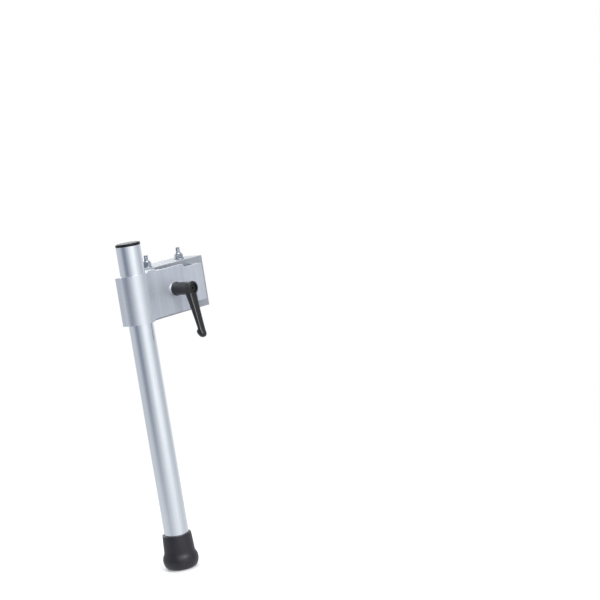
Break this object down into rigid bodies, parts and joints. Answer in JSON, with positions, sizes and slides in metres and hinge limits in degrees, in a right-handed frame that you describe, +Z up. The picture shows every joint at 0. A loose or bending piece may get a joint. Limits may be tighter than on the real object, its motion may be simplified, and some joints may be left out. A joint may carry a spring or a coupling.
{
  "type": "clamp-on leg extension",
  "caption": "Telescopic round leg with a rubber foot, held by a lever-tightened saddle clamp on a channel that bolts round a rail.",
  "frame": {"origin": "centre of the channel's seat face on the rail, midway between the two through bolts", "axes": "+Z up along the leg, +Y from the clamp into the rail, +X along the rail away from the leg"},
  "size_m": [0.2116, 0.1409, 0.537],
  "materials": {
    "drawn_aluminium": "drawn, satin",
    "extruded_aluminium": "extruded mill finish",
    "zinc_steel": "bright zinc plated",
    "spring_steel": "drawn wire",
    "black_steel": "blackened",
    "lever_black": "black powder coat",
    "black_plastic": "moulded",
    "nylon": "moulded",
    "black_rubber": "moulded matt"
  },
  "bodies": {
    "bracket": {"mounting_channel": "extruded_aluminium", "anchor_nut": "zinc_steel", "inner_bolt": "zinc_steel", "inner_nut": "zinc_steel", "inner_nut_insert": "nylon", "inner_top_washer": "zinc_steel", "outer_bolt": "zinc_steel", "outer_nut": "zinc_steel", "outer_nut_insert": "nylon", "outer_top_washer": "zinc_steel"},
    "jaw": {"clamp_jaw": "extruded_aluminium"},
    "leg": {"leg_tube": "drawn_aluminium", "tube_plug": "black_plastic", "rubber_foot": "black_rubber", "foot_disc": "zinc_steel"},
    "washer": {"thrust_washer": "zinc_steel"},
    "screw": {"clamp_stud": "zinc_steel", "lever_core": "zinc_steel", "lever_screw": "black_steel", "lever_spring": "spring_steel"},
    "lever": {"lever_handle": "lever_black"}
  },
  "joints": [
    {"name": "leg_slide", "type": "slide", "parent": "bracket", "child": "leg", "axis": [0, 0, 1], "range_m": [-0.045, 0.34]},
    {"name": "jaw_open", "type": "hinge", "parent": "bracket", "child": "jaw", "pos_m": [0.0375, -0.011, 0], "axis": [0, 0, 1], "range_deg": [0, 0.5]},
    {"name": "washer_travel", "type": "slide", "parent": "bracket", "child": "washer", "axis": [0, -1, 0], "range_m": [0, 0.001]},
    {"name": "lever_turn", "type": "hinge", "parent": "washer", "child": "screw", "pos_m": [-0.03, -0.0253, 0.00275], "axis": [0, -1, 0], "range_deg": [0, 180]},
    {"name": "lever_lift", "type": "slide", "parent": "screw", "child": "lever", "axis": [0, -1, 0], "range_m": [0, 0.0052], "stiffness_N_per_m": 1200, "springref_m": -0.002, "deforming": ["lever_spring"]}
  ],
  "couplings": [
    {"joint": "washer_travel", "follows": "lever_turn", "m_per_rad": 0.00023873},
    {"joint": "jaw_open", "follows": "lever_turn", "ratio": 0.0025}
  ]
}
